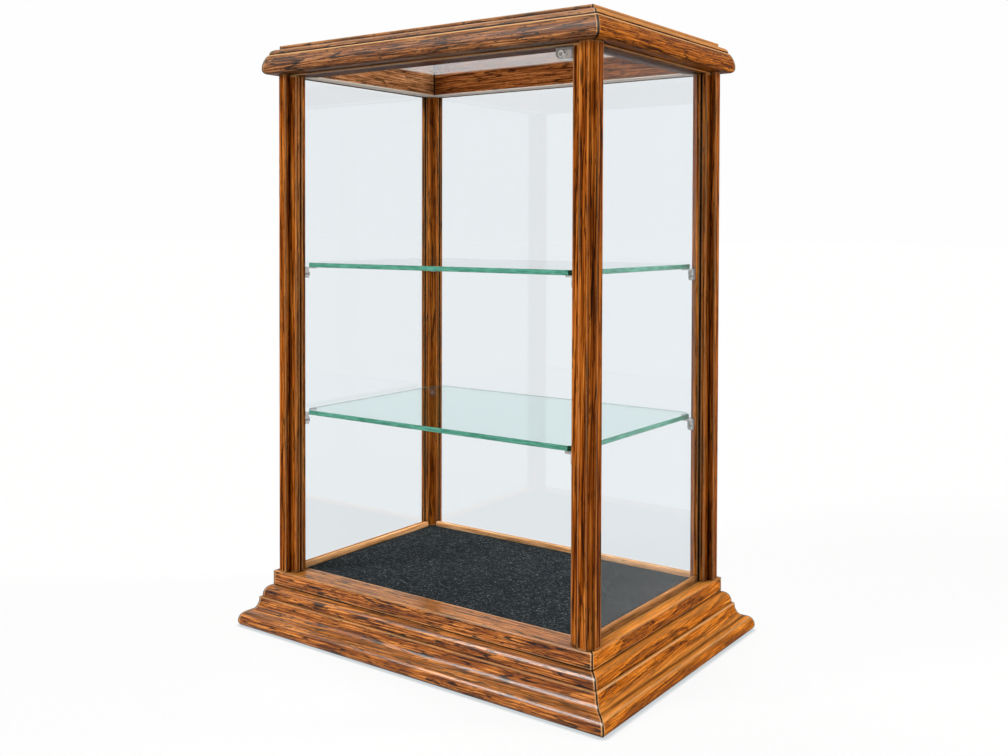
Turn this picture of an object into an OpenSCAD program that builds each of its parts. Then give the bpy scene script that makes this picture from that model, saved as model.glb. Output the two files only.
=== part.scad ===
// Tabletop display cabinet: an oak plinth and crown on four corner posts,
// glazed on the left, right, back and top, open at the front, with two lift-off glass shelves.
// The origin is at the middle of the footprint, on the surface that the plinth stands on.
// The open front faces -Y and the right side faces +X.

/* [Body] */
// Width over the top band of the plinth
body_w = 400; // [320:5:520]
// Depth over the top band of the plinth
body_d = 268; // [220:4:360]
// Height from the surface to the top of the crown
body_h = 625; // [520:5:800]

/* [Plinth] */
// Height of the plinth to the surface that the posts stand on
plinth_h = 58.5; // [54:0.5:75]
// Height of the upright band round the top of the plinth
band_h = 14.5; // [8:0.5:18]
// How far the quarter round under the band stands out
ovolo_out = 8.4; // [5:0.2:11]
// Height of the bullnose toe at the foot
toe_h = 15.7; // [10:0.1:18]
// How far the toe stands out beyond the band
toe_out = 27; // [24:0.5:36]
// Reach of the toe's rounded nose beyond the cove
nose_out = 8; // [6:0.5:9]
// Drop of the felt below the top of the plinth
felt_drop = 0.5; // [0:0.5:4]
// Width of the ledge
ledge_w = 9; // [6:0.5:14]

/* [Crown] */
// Height of the crown above its underside
crown_h = 31; // [28:0.5:40]
// How far the fascia stands out beyond the band
crown_out = 8.5; // [6:0.5:14]
// How far the top step lies behind the band
crown_back = 5; // [3:0.5:6]
// Drop of the inner part of the underside below the outer part
under_step = 2; // [1:0.5:3]
// Width of the inner top frame inside the pane groove
frame_w = 17.7; // [14:0.1:24]
// Depth of the top glass below the top of the crown
top_recess = 3; // [1:0.5:5]

/* [Posts] */
// Width of a post across each face
post_w = 26; // [25:0.5:32]
// Gap from the band to the outer faces of the posts
post_margin = 1.4; // [1:0.2:3]
// Width of the outer square of a post
post_body = 16; // [14:0.5:18]
// Cut on the outer corner of a post
post_cut = 6.4; // [3:0.2:8]
// Set-back of the faces beside the outer square
post_step = 6; // [3:0.5:8]
// Distance from the set-back face to the pane groove
groove_off = 5; // [3:0.2:6]
// Depth of the pane grooves
groove_deep = 5; // [3:0.5:6]
// Cut on the inner corner of a post
inner_cut = 6.6; // [5:0.2:8]

/* [Glass] */
// Thickness of the side panes
pane_t = 3; // [2:0.5:4]
// Thickness of the top glass
top_glass_t = 4; // [3:0.5:5]
// Thickness of a shelf
shelf_t = 4.8; // [4:0.2:8]
// Gap from the side edges of a shelf to the line of the side lips
shelf_side_gap = 11.2; // [8:0.2:14]
// Gap from the front and back edges of a shelf to the line of the back lip
shelf_end_gap = 1; // [0.5:0.5:4]
// Gap from the cut corners of a shelf to the inner corners of the posts
shelf_post_gap = 4; // [2:0.5:5]
// Height of the underside of the lower shelf
lower_shelf_h = 229; // [180:1:280]
// Height of the underside of the upper shelf
upper_shelf_h = 387.5; // [320:0.5:460]

/* [Floor] */
// Thickness of the floor board
board_t = 6; // [4:0.5:6]
// Thickness of the felt
felt_t = 1; // [0.5:0.1:1.5]
// Height of the side and back lips above the plinth
lip_up = 4.5; // [2:0.5:8]

/* [Fittings] */
// Width of a shelf support
support_w = 12; // [10:0.5:14]
// Reach of a shelf support from the post
support_l = 12.5; // [11:0.5:18]
// Thickness of the flange of a shelf support
support_t = 1.6; // [1.2:0.1:2.5]
// Height of the tab below the flange
tab_h = 10.5; // [8:0.5:14]
// Thickness of the tab
tab_t = 4; // [3:0.5:5]
// Diameter of the dowels in the post ends
dowel_d = 6; // [5:0.5:7]
// Length of the dowels
dowel_l = 28; // [20:1:36]
// Length of the catch under the front of the top frame
catch_l = 22; // [18:1:30]
// Height of the catch
catch_h = 10.5; // [8:0.5:14]

/* [Hidden] */
$fn = 48;

groove_w = pane_t + 0.4; // running clearance of 0.2 mm on each side of a pane
pane_play = 0.3; // clearance at the edges of a pane inside its grooves
groove_in = post_margin + post_step + groove_off; // band face to the outer wall of the groove
lip_in = groove_in + groove_w; // band face to the inner wall of the groove
rail_in = post_margin + post_w; // band face to the inner side of the front sill and to the posts' faces
lip_face = rail_in - inner_cut; // band face to the inner side of the lips and of the other rails
frame_in = lip_in + frame_w; // band face to the inner side of the top frame
crown_z = body_h - crown_h; // outer underside of the crown, where the posts' outer squares end
under_z = crown_z - under_step; // inner underside of the crown and of the top frame
glass_z = body_h - top_recess - top_glass_t; // underside of the top glass
felt_z = plinth_h - felt_drop - felt_t; // top of the floor board, under the felt
ledge_h = felt_z - board_t; // ledge that carries the floor board
clear = 0.3; // assembly clearance between loose flat pieces
corner_signs = [[-1, -1], [1, -1], [-1, 1], [1, 1]];
far = 1000; // reach of the cutting blocks

oak = "#9a5a25";
oak_light = "#b5763c";
glass_tint = [0.80, 0.90, 0.88, 0.35];
clear_plastic = [0.92, 0.93, 0.94, 0.55];
steel = "#a9abad";

// Points of an elliptical arc in the section plane
function arc(cx, cz, rx, rz, a0, a1, n = 8) =
    [for (i = [0 : n]) let (a = a0 + (a1 - a0) * i / n) [cx + rx * cos(a), cz + rz * sin(a)]];

// Outline of the plinth moulding, as distance outside the band face and height
quirk = 0.9; // fine groove under the band
arris = 1.3; // rounding of the band's top edge
foot_round = 5; // height of the rounding at the foot of the toe
foot_round_out = nose_out - 3.5; // reach of that rounding
band_z = plinth_h - band_h;
cove_out = toe_out - nose_out; // where the cove meets the toe
cove_share = 0.49; // part of the height from the toe to the band that the cove takes
cove_top = toe_h + (band_z - toe_h) * cove_share;
fillet_out = ovolo_out + 2.4; // reach of the fillet between the cove and the quarter round
fillet_h = 2;
function plinth_outline() = concat(
    arc(toe_out - foot_round_out, foot_round, foot_round_out, foot_round, -90, 0, 6),
    arc(cove_out, foot_round, nose_out, toe_h - foot_round, 12, 90, 8),
    arc(cove_out + 0.5, cove_top, cove_out + 0.5 - fillet_out, cove_top - toe_h, 262, 180, 9),
    [[fillet_out, cove_top + 0.4 * fillet_h], [ovolo_out, cove_top + 0.6 * fillet_h]],
    arc(0, cove_top + fillet_h, ovolo_out, band_z - quirk - cove_top - fillet_h, 0, 90, 9),
    [[-quirk, band_z - quirk / 2], [0, band_z]],
    arc(-arris, plinth_h - arris, arris, arris, 0, 90, 4)
);

// Outline of the crown moulding, from its underside up to its top step
step_z = body_h - 4; // foot of the top step
bead_out = 2.8; // reach of the bead under the top step
bead_round = 5; // height of the bead's rounding
fascia_z = step_z - 6.3; // top of the fascia, under the bead
fascia_ledge = 0.8; // how far the fascia's top stands out beyond the bead
fascia_foot = 5; // rounding at the foot of the fascia
fascia_foot_z = crown_z + 1.1 * fascia_foot; // top of that rounding
fascia_rise = fascia_z - fascia_foot_z;
fascia_lean = crown_out - bead_out - fascia_ledge; // how far the fascia curves back towards its top
fascia_r = (fascia_rise * fascia_rise + fascia_lean * fascia_lean) / (2 * fascia_lean);
fascia_turn = asin(fascia_rise / fascia_r);
edge_round = 0.8; // rounding of the top step's edge
function crown_outline() = concat(
    arc(crown_out - fascia_foot, fascia_foot_z, fascia_foot, fascia_foot_z - crown_z, -90, 0, 6),
    arc(crown_out - fascia_r, fascia_foot_z, fascia_r, fascia_r, fascia_turn / 7, fascia_turn, 6),
    [[bead_out, fascia_z]],
    arc(-crown_back + 0.6, step_z - bead_round, crown_back - 0.6 + bead_out, bead_round, 0, 90, 7),
    [[-crown_back, step_z]],
    arc(-crown_back - edge_round, body_h - edge_round, edge_round, edge_round, 0, 90, 3)
);

// Mitred rail along X with its outline outside the line y = 0 and outward towards -Y
module mitred_rail(len) {
    difference() {
        rotate([90, 0, 90])
            translate([0, 0, -len])
                linear_extrude(2 * len)
                    mirror([1, 0])
                        children();
        for (side = [0, 1])
            mirror([side, 0, 0])
                translate([len / 2, 0, 0])
                    rotate([0, 0, 45])
                        translate([0, -far, -far])
                            cube(2 * far);
    }
}

// Stands a front-facing rail on one of the four sides, turn counting quarter turns from the front
module on_side(turn) {
    rotate([0, 0, 90 * turn])
        translate([0, turn % 2 == 0 ? -body_d / 2 : -body_w / 2, 0])
            children();
}
function side_len(turn) = turn % 2 == 0 ? body_w : body_d;

// Length of opening between the posts on a side
function clear_len(turn) = side_len(turn) - 2 * rail_in;

// Places a child at each corner, at one distance inside both band faces
module at_corners(inset, z) {
    for (s = corner_signs)
        translate([s[0] * (body_w / 2 - inset), s[1] * (body_d / 2 - inset), z])
            children();
}

fit = 0.05; // radial clearance of a pin or screw in its hole
dowel_in = post_margin + post_body / 2; // dowel axis inside the band faces
dowel_play = 0.5; // spare depth at each end of a dowel
module dowel_holes(z) {
    at_corners(dowel_in, z - dowel_l / 2 - dowel_play)
        cylinder(d = dowel_d + 2 * fit, h = dowel_l + 2 * dowel_play);
}

// Biscuits lie flat across the mitres
biscuit_t = 3;
biscuit_play = 0.1;
plinth_biscuit_r = 10;
plinth_biscuit_in = 6;
plinth_biscuit_z = 22;
crown_biscuit_r = 5.5;
crown_biscuit_in = 5.5;
crown_biscuit_z = body_h - 12;
module biscuits(r, inset, z, grow = 0) {
    at_corners(inset, z - grow)
        cylinder(r = r + grow, h = biscuit_t + 2 * grow);
}

// Plinth rail, with a ledge for the floor board inside. A glazed one has a groove for its pane;
// the front one widens into a sill between the side rails.
module plinth_rail(turn, glazed) {
    color(oak)
        difference() {
            on_side(turn) {
                if (!glazed)
                    translate([lip_face - side_len(turn) / 2, lip_face - 1, ledge_h])
                        cube([side_len(turn) - 2 * lip_face, rail_in - lip_face + 1, plinth_h - ledge_h]);
                mitred_rail(side_len(turn))
                    polygon(concat(
                        [[-rail_in - ledge_w, 0]],
                        plinth_outline(),
                        [[-lip_face, plinth_h], [-lip_face, ledge_h], [-rail_in - ledge_w, ledge_h]]
                    ));
            }
            if (glazed)
                on_side(turn) {
                    pane_slot(clear_len(turn) + 2 * groove_deep, plinth_h - groove_deep);
                    translate([-clear_len(turn) / 2, groove_in, plinth_h - groove_deep])
                        cube([clear_len(turn), lip_face - groove_in + 1, groove_deep + 1]);
                }
            dowel_holes(plinth_h);
            biscuits(plinth_biscuit_r, plinth_biscuit_in, plinth_biscuit_z, biscuit_play);
            floor_screw_rows(floor_screw_l, fit);
        }
}

// Slot that a pane stands in, from its bottom upward
module pane_slot(len, z) {
    translate([-len / 2, groove_in, z])
        cube([len, groove_w, far]);
}

// Block that fills the floor between the sill and the other rails
module floor_sheet(z, t) {
    translate([lip_face + clear - body_w / 2, rail_in + clear - body_d / 2, z])
        cube([body_w - 2 * (lip_face + clear), body_d - rail_in - lip_face - 2 * clear, t]);
}

module floor_board() {
    color("#b08c5a")
        difference() {
            floor_sheet(ledge_h, board_t);
            floor_screw_rows(floor_screw_l, fit);
        }
}

// Screws that hold the board down on the ledges of the front and back rails
screw_d = 3;
head_d = 6;
head_h = 1.8;
floor_screw_l = 16;
floor_screw_share = 0.36; // outer screws, as a part of the width from the middle
module floor_screw_rows(l, grow = 0) {
    for (x = [-floor_screw_share, 0, floor_screw_share], side = [-1, 1])
        translate([x * body_w, side * (body_d / 2 - rail_in - ledge_w / 2), felt_z - l]) {
            cylinder(d = screw_d + 2 * grow, h = l - head_h / 2);
            translate([0, 0, l - head_h])
                cylinder(d1 = screw_d + 2 * grow, d2 = head_d + 2 * grow, h = head_h);
        }
}

module floor_screws() {
    color(steel)
        floor_screw_rows(floor_screw_l - 0.5);
}

module felt_floor() {
    color("#26292d")
        floor_sheet(felt_z, felt_t);
}

// Lip strip beside a pane, between two posts
lip_play = 0.2;
module lip(turn) {
    color(oak_light)
        on_side(turn)
            rotate([90, 0, 90])
                translate([lip_in, 0, -clear_len(turn) / 2 + lip_play])
                    linear_extrude(clear_len(turn) - 2 * lip_play)
                        polygon(concat(
                            [[0, plinth_h - groove_deep], [lip_face - lip_in, plinth_h - groove_deep]],
                            arc(lip_face - lip_in - 1, plinth_h + lip_up - 1, 1, 1, 0, 90, 3),
                            arc(0.6, plinth_h + lip_up - 0.6, 0.6, 0.6, 90, 180, 3)
                        ));
}

// Section of a post with its outer corner at the origin and its body towards +X and +Y
eased = 0.7; // rounding on the exposed arrises
module post_section() {
    square_end = post_step + groove_off + groove_w;
    cut_at = post_w - inner_cut;
    difference() {
        polygon([
            [post_cut, 0], [post_body - eased, 0], [post_body, eased], [post_body, post_step],
            [post_w - eased, post_step], [post_w, post_step + eased],
            [post_w, cut_at], [cut_at, post_w],
            [post_step + eased, post_w], [post_step, post_w - eased], [post_step, post_body],
            [eased, post_body], [0, post_body - eased], [0, post_cut]
        ]);
        for (flip = [0, 1])
            mirror([flip, -flip])
                translate([post_w - groove_deep, square_end - groove_w])
                    square([groove_deep + 1, groove_w]);
    }
}

// The outer square of a post rises past the rest, into the step under the crown
module post(s) {
    color(oak)
        difference() {
            translate([s[0] * (body_w / 2 - post_margin), s[1] * (body_d / 2 - post_margin), plinth_h])
                mirror([s[0] > 0 ? 1 : 0, 0, 0])
                    mirror([0, s[1] > 0 ? 1 : 0, 0])
                        difference() {
                            linear_extrude(crown_z - plinth_h)
                                post_section();
                            translate([post_step, post_step, under_z - plinth_h])
                                cube(far);
                            translate([post_body, post_step - 1, under_z - plinth_h])
                                cube(far);
                            translate([post_step - 1, post_body, under_z - plinth_h])
                                cube(far);
                        }
            dowel_holes(plinth_h);
            dowel_holes(crown_z);
            nail_set(lower_shelf_h, fit);
            nail_set(upper_shelf_h, fit);
        }
}

module dowels(z) {
    color("#c79b62")
        at_corners(dowel_in, z - dowel_l / 2)
            cylinder(d = dowel_d, h = dowel_l);
}

// Crown rail: moulding outside, step under it for the posts, flat face inside
module crown_rail(turn) {
    color(oak)
        difference() {
            on_side(turn)
                mitred_rail(side_len(turn))
                    polygon(concat(
                        [[-groove_in, under_z], [-post_margin - post_step, under_z]],
                        [[-post_margin - post_step, crown_z]],
                        crown_outline(),
                        [[-groove_in, body_h]]
                    ));
            dowel_holes(crown_z);
            biscuits(crown_biscuit_r, crown_biscuit_in, crown_biscuit_z, biscuit_play);
        }
}

// Inner top frame, glued inside the crown: inner wall of the pane groove and seat of the top glass
module frame_rail(turn, glazed) {
    foot = glazed ? lip_in : groove_in;
    color(oak)
        difference() {
            on_side(turn)
                mitred_rail(side_len(turn))
                    polygon([
                        [-foot, under_z], [-foot, under_z + groove_deep + pane_play],
                        [-groove_in, under_z + groove_deep + pane_play], [-groove_in, glass_z],
                        [-frame_in, glass_z], [-frame_in, under_z]
                    ]);
            catch_screw_shape(fit);
        }
}

module top_glass() {
    color(glass_tint)
        translate([0, 0, glass_z + top_glass_t / 2])
            cube([body_w - 2 * (groove_in + clear), body_d - 2 * (groove_in + clear), top_glass_t], center = true);
}

// Side pane, held in the plinth, in two posts and in the crown
module pane(turn) {
    w = clear_len(turn) + 2 * (groove_deep - pane_play);
    color(glass_tint)
        on_side(turn)
            translate([-w / 2, groove_in + (groove_w - pane_t) / 2, plinth_h - groove_deep])
                cube([w, pane_t, under_z - plinth_h + 2 * groove_deep]);
}

// Shelf: its cut corners keep a gap from the posts' inner corner faces
shelf_x = body_w / 2 - lip_in - shelf_side_gap;
shelf_y = body_d / 2 - lip_in - shelf_end_gap;
post_face_sum = (body_w + body_d) / 2 - 2 * rail_in + inner_cut; // x + y along an inner corner face
shelf_cut = shelf_x + shelf_y - post_face_sum + shelf_post_gap * sqrt(2);
module shelf(z) {
    color(glass_tint)
        translate([0, 0, z])
            linear_extrude(shelf_t)
                polygon([for (q = [0 : 3], end = [0, 1]) corner_point(q, end)]);
}

// Two points of each cut corner, counterclockwise from the back right
function corner_point(q, end) =
    let (sx = (q == 0 || q == 3) ? 1 : -1)
    let (sy = (q < 2) ? 1 : -1)
    let (along_x = (end == 1) == (q % 2 == 0))
    along_x ? [sx * (shelf_x - shelf_cut), sy * shelf_y] : [sx * shelf_x, sy * (shelf_y - shelf_cut)];

// Places a child where a shelf support sits: across the inner corner of its post, but at the
// front right post on its inner side, between the groove and the corner
face_in = rail_in - inner_cut / 2; // middle of the inner corner face inside the band faces
side_seat_in = (lip_in + lip_face) / 2; // middle of that strip
module at_support(s, z) {
    across = s[0] < 0 || s[1] > 0;
    translate([
        s[0] * (body_w / 2 - (across ? face_in : rail_in)),
        s[1] * (body_d / 2 - (across ? face_in : side_seat_in)),
        z
    ])
        rotate([0, 0, atan2(across ? -s[1] : 0, -s[0])])
            children();
}

// Clear plastic shelf support: a flange with a round end and a tab with a round foot
nail_d = 2;
nail_l = 16;
nail_drop = 6; // nail axis below the flange
nail_head_d = 4;
nail_head_h = 0.8;
module support(s, z) {
    color(clear_plastic)
        difference() {
            at_support(s, z) {
                translate([0, 0, -support_t])
                    linear_extrude(support_t) {
                        translate([0, -support_w / 2])
                            square([support_l - support_w / 2, support_w]);
                        translate([support_l - support_w / 2, 0])
                            circle(d = support_w);
                    }
                rotate([90, 0, 90])
                    linear_extrude(tab_t)
                        tab_outline();
            }
            nail_set(z, fit);
        }
}

// Tab about as wide as a post's inner corner face, with rounded lower corners
tab_w = inner_cut * sqrt(2) + 0.6;
tab_r = 3;
module tab_outline() {
    translate([-tab_w / 2, -support_t - tab_h + tab_r])
        square([tab_w, tab_h - tab_r]);
    translate([-tab_w / 2 + tab_r, -support_t - tab_h])
        square([tab_w - 2 * tab_r, tab_r]);
    for (side = [-1, 1])
        translate([side * (tab_w / 2 - tab_r), -support_t - tab_h + tab_r])
            circle(r = tab_r);
}

// One nail through the tab of each support into its post
module nail_set(z, grow = 0) {
    for (s = corner_signs)
        at_support(s, z - support_t - nail_drop)
            rotate([0, -90, 0])
                translate([0, 0, -tab_t - nail_head_h]) {
                    cylinder(d = nail_d + 2 * grow, h = nail_l);
                    cylinder(d = nail_head_d + 2 * grow, h = nail_head_h);
                }
}

module support_nails() {
    color(steel) {
        nail_set(lower_shelf_h);
        nail_set(upper_shelf_h);
    }
}

// Clear catch under the front of the top frame, beside the front right post
catch_t = 8;
catch_x = body_w / 2 - rail_in - 1; // end beside the post
catch_y = -body_d / 2 + groove_in + 3; // front face
roller_x = catch_x - catch_l + catch_h / 2;
roller_d = 6.4;
roller_wall = 1.2;
catch_screw_x = catch_x - 5;
module front_catch() {
    color(clear_plastic)
        difference() {
            union() {
                translate([catch_x - catch_l, catch_y, under_z - catch_h / 2])
                    cube([catch_l, catch_t, catch_h / 2]);
                translate([roller_x, catch_y, under_z - catch_h])
                    cube([catch_x - roller_x, catch_t, catch_h]);
                catch_barrel(catch_h, catch_t);
            }
            catch_barrel(roller_d + 2 * fit, catch_t + 2);
            catch_screw_shape(fit);
        }
}

// Cylinder across the catch, on the roller's axis
module catch_barrel(d, l) {
    translate([roller_x, catch_y + (catch_t + l) / 2, under_z - catch_h / 2])
        rotate([90, 0, 0])
            cylinder(d = d, h = l);
}

module catch_roller() {
    color("white")
        difference() {
            catch_barrel(roller_d, catch_t - 1);
            catch_barrel(roller_d - 2 * roller_wall, catch_t + 2);
        }
}

// Screw up through the catch into the top frame
catch_head_d = 5.6;
catch_head_h = 1.6;
catch_screw_grip = 9; // length inside the frame
module catch_screw_shape(grow = 0) {
    translate([catch_screw_x, catch_y + catch_t / 2, under_z - catch_h]) {
        cylinder(d = screw_d + 2 * grow, h = catch_h + catch_screw_grip);
        cylinder(d = catch_head_d + 2 * grow, h = catch_head_h);
    }
}

// The head has a slot across it
slot_w = 0.8;
module catch_screw() {
    color(steel)
        difference() {
            catch_screw_shape();
            translate([catch_screw_x, catch_y + catch_t / 2, under_z - catch_h])
                cube([slot_w, catch_head_d + 1, 2 * slot_w], center = true);
        }
}

plinth_rail(0, false);  // plinth_front
plinth_rail(1, true);  // plinth_right
plinth_rail(2, true);  // plinth_back
plinth_rail(3, true);  // plinth_left
color("#c79b62") biscuits(plinth_biscuit_r, plinth_biscuit_in, plinth_biscuit_z);  // plinth_biscuits
floor_board();
floor_screws();
felt_floor();
lip(1);  // lip_right
lip(2);  // lip_back
lip(3);  // lip_left
post(corner_signs[0]);  // post_front_left
post(corner_signs[1]);  // post_front_right
post(corner_signs[2]);  // post_back_left
post(corner_signs[3]);  // post_back_right
dowels(plinth_h);  // lower_dowels
dowels(crown_z);  // upper_dowels
crown_rail(0);  // crown_front
crown_rail(1);  // crown_right
crown_rail(2);  // crown_back
crown_rail(3);  // crown_left
color("#c79b62") biscuits(crown_biscuit_r, crown_biscuit_in, crown_biscuit_z);  // crown_biscuits
frame_rail(0, false);  // frame_front
frame_rail(1, true);  // frame_right
frame_rail(2, true);  // frame_back
frame_rail(3, true);  // frame_left
top_glass();
pane(1);  // pane_right
pane(2);  // pane_back
pane(3);  // pane_left
shelf(lower_shelf_h);  // shelf_lower
shelf(upper_shelf_h);  // shelf_upper
support(corner_signs[0], lower_shelf_h);  // support_lower_front_left
support(corner_signs[1], lower_shelf_h);  // support_lower_front_right
support(corner_signs[2], lower_shelf_h);  // support_lower_back_left
support(corner_signs[3], lower_shelf_h);  // support_lower_back_right
support(corner_signs[0], upper_shelf_h);  // support_upper_front_left
support(corner_signs[1], upper_shelf_h);  // support_upper_front_right
support(corner_signs[2], upper_shelf_h);  // support_upper_back_left
support(corner_signs[3], upper_shelf_h);  // support_upper_back_right
support_nails();
front_catch();
catch_roller();
catch_screw();
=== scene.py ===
import math

import bmesh
import bpy
from mathutils import Euler, Matrix, Vector, noise


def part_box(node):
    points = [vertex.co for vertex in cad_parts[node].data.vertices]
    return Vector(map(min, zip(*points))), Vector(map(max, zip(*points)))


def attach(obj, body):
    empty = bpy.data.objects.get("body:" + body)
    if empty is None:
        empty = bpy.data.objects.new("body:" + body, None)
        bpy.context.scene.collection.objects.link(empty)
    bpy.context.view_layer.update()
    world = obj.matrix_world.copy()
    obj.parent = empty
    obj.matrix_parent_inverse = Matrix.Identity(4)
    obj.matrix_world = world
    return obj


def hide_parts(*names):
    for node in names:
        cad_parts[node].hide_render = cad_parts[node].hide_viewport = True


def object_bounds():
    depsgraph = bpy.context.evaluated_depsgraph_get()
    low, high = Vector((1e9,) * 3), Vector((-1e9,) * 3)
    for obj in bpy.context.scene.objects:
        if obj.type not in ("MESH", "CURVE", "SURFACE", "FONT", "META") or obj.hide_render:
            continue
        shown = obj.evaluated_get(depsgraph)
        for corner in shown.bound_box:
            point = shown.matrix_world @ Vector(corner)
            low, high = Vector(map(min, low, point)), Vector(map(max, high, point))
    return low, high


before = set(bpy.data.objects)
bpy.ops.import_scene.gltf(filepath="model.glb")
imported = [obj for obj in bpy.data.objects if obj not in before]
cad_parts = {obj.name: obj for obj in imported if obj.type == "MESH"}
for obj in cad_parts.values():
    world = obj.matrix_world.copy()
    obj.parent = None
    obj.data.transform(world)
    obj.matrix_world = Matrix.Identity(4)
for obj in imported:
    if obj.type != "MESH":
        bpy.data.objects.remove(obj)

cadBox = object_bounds()
print("cabinet loaded with", len(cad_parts), "nodes")


def linear(hexColour):
    # sRGB hex to the linear colour that shaders work in
    parts = [int(hexColour[i:i + 2], 16) / 255 for i in (1, 3, 5)]
    return [p / 12.92 if p <= 0.04045 else ((p + 0.055) / 1.055) ** 2.4 for p in parts] + [1.0]


def addNode(tree, kind, settings=None, links=None):
    # adds one node; a link is a value for a socket, or the output that feeds it;
    # the setting stops gives a colour ramp its places, each with a hex colour or a grey;
    # a Mix node of colours takes them at sockets 6 and 7, and gives the result at output 2
    node = tree.nodes.new(kind)
    for name, value in (settings or {}).items():
        if name == "stops":
            ramp = node.color_ramp.elements
            while len(ramp) < len(value):
                ramp.new(1.0)
            for element, (place, colour) in zip(ramp, value):
                element.position = place
                element.color = linear(colour) if isinstance(colour, str) else [colour] * 3 + [1.0]
        else:
            setattr(node, name, value)
    for socket, value in (links or {}).items():
        if isinstance(value, bpy.types.NodeSocket):
            tree.links.new(value, node.inputs[socket])
        else:
            node.inputs[socket].default_value = value
    return node


def newMaterial(name):
    material = bpy.data.materials.new(name)
    material.use_nodes = True
    material.node_tree.nodes.clear()
    return material, material.node_tree


# Oak, stained golden brown and sprayed with a satin lacquer: broad soft highlights that the open
# pores break up, bands of open-pored early wood, a figure that follows each board's own rings,
# and painted shade in every quirk. Sizes of the grain are in mm, the others in m. A pair is the
# range of a pattern over which its effect comes or goes.
oakLook = {
    "light": "#E49142", "middle": "#A25612", "dark": "#542505", "pore": "#100500",
    "places": (0.38, 0.68, 1.0),          # tones at which the three browns stand
    "plainTone": -0.62,                   # tone before fibre, rings and patches deepen it
    "bendWidth": 45.0, "bendLength": 150.0, "bend": 16.0,  # slow bends of the trunk, and their reach
    "ringWidth": 4.0, "ringDepth": 0.12,  # growth rings of slow oak, and how dark
    # how open-pored the wood is, from one ring's start to the next
    "early": [(0.0, 0.2), (0.07, 1.0), (0.22, 0.75), (0.5, 0.12), (0.92, 0.0), (1.0, 0.2)],
    "ringLine": 0.35, "lineWidth": 0.1,   # the dark line where a ring begins, and its share of a ring
    "lineBreaks": (0.42, 0.55),           # it shows only in the darker fibres
    # distance between pores across and along, and how dark; real ones are 0.3 mm wide, too fine to show
    "pores": [(2.4, 18.0, 0.95), (1.6, 12.0, 0.9)],
    "poreReach": 0.19, "poreCrowd": 0.05, "poreEdge": (-0.02, 0.04),  # shares of that distance:
                                          # half a pore, its growth in early wood and its soft edge
    "poreShift": 31.0,                    # keeps one size of pore off another
    "veinWidth": 4.2, "veinLength": 75.0, "vein": 0.85,  # long thin dark lines, and how dark
    "veinEdge": (0.012, 0.05),            # half a vein and its soft edge, as levels of the noise
    "breakWidth": 5.0, "breakLength": 22.0, "breakEdge": (0.42, 0.5),  # where they stop and start again
    "fibreWidth": 1.3, "fibreLength": 45.0, "fibreDepth": 2.2,  # bundles: real fibres are too fine to show
    "patchWidth": 30.0, "patchLength": 140.0, "patchDepth": 0.4,  # clouds where the board took more stain
    # colour of the dark mitre lines and of all painted shade; reach of the painted shade in quirks and
    # corners, its depth, and how softly it ends
    "stainAndShade": "#080300", "creaseShades": [(0.006, 0.35, 0.4), (0.0018, 0.98, 0.45)],
    "creaseShadeFull": 0.48,                    # openness of a corner that gets the full painted shade
    "ownQuirkShade": False,                   # True where the painted shade comes only from the board's own quirks
    "edge": "#F6C084", "wornHighlightReach": 0.002, "wornHighlight": 0.75, "wornHighlightEdge": (0.6, 0.95),  # arrises rubbed lighter, with a painted highlight on them
    "wornHighlightSteady": 0.5,                    # share of the wear and painted highlight that the fibres don't break up
    "wornHighlightFacing": (-0.6, -0.2),           # no wear or painted highlight on what faces down
    "faded": "#F0AC66", "topLightShare": 0.1, "topLightFacing": (0.3, 0.9),  # painted light: what faces up is lighter, as if lit from above
    "under": 0.5, "underShadeFacing": (-0.9, -0.35),  # painted shade on the undersides
    # half the width of the dark line where rails meet, its depth and its soft edge
    "mitre": 0.0009, "mitreDepth": 0.97, "mitreEdge": 0.0006,
    "shadeAndHighlightLines": [], "lineEdge": 0.0003,      # painted lines of shade or highlight along the rail: height and half width, finish, depth
    "roughness": 0.5, "shine": 0.01, "coat": 0.04, "coatRoughness": 0.14,  # the wood, then the lacquer
    "grainBump": 0.4, "coatBump": 0.12, "poreHeight": 0.0004,  # the lacquer fills most of each pore
}
toGrain = {  # turns a board's length to the pattern's own
    "X": Euler((0, math.radians(-90), 0)).to_matrix(),
    "Y": Euler((math.radians(90), 0, 0)).to_matrix(),
    "Z": Matrix.Identity(3),
}
mitreOffset = cadBox[1].x - cadBox[1].y  # m, along a mitre x and y differ by this


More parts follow.
